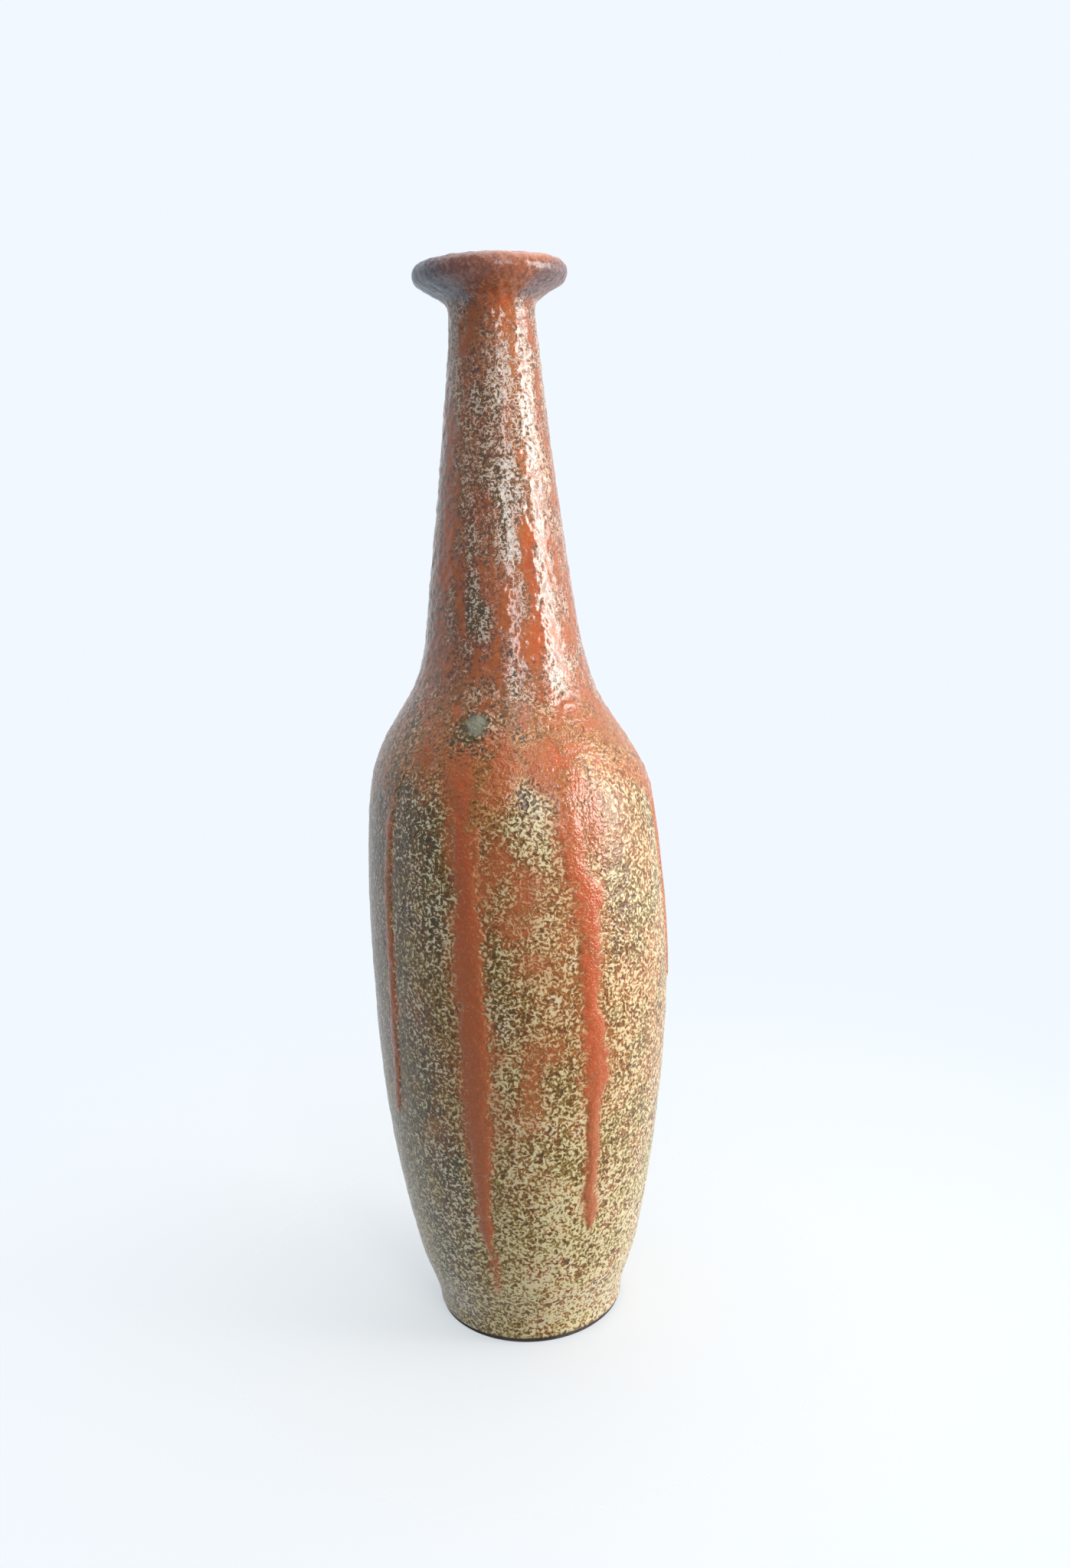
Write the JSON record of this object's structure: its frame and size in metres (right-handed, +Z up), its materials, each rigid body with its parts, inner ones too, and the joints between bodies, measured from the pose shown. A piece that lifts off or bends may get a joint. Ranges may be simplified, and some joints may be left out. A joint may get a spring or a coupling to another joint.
{
  "type": "bottle vase",
  "caption": "Tall wheel-thrown stoneware bottle vase with a slender body, long neck, flared collar and red glaze running over a mottled cream glaze.",
  "frame": {"origin": "centre of the foot on the surface that the vase stands on", "axes": "+Z up along the turning axis, -Y towards the pictured side, +X to its right"},
  "size_m": [0.1149, 0.1136, 0.4],
  "materials": {
    "stoneware_clay": "bare fired clay, matt, fine turning marks",
    "lining_glaze": "glossy brown lining glaze",
    "cream_glaze": "glossy mottled cream squiggles on olive brown",
    "red_glaze": "glossy orange red, streaked and speckled"
  },
  "bodies": {
    "root": {"foot_ring": "stoneware_clay", "base_floor": "stoneware_clay", "lower_body": "stoneware_clay", "upper_body": "stoneware_clay", "shoulder": "stoneware_clay", "neck": "stoneware_clay", "mouth_collar": "stoneware_clay", "inner_glaze": "lining_glaze", "cream_glaze": "cream_glaze", "red_glaze": "red_glaze", "red_glaze_skirt": "red_glaze", "front_left_run": "red_glaze", "front_right_run": "red_glaze", "left_edge_run": "red_glaze", "right_side_run": "red_glaze", "back_run": "red_glaze", "back_left_run": "red_glaze"}
  },
  "joints": []
}
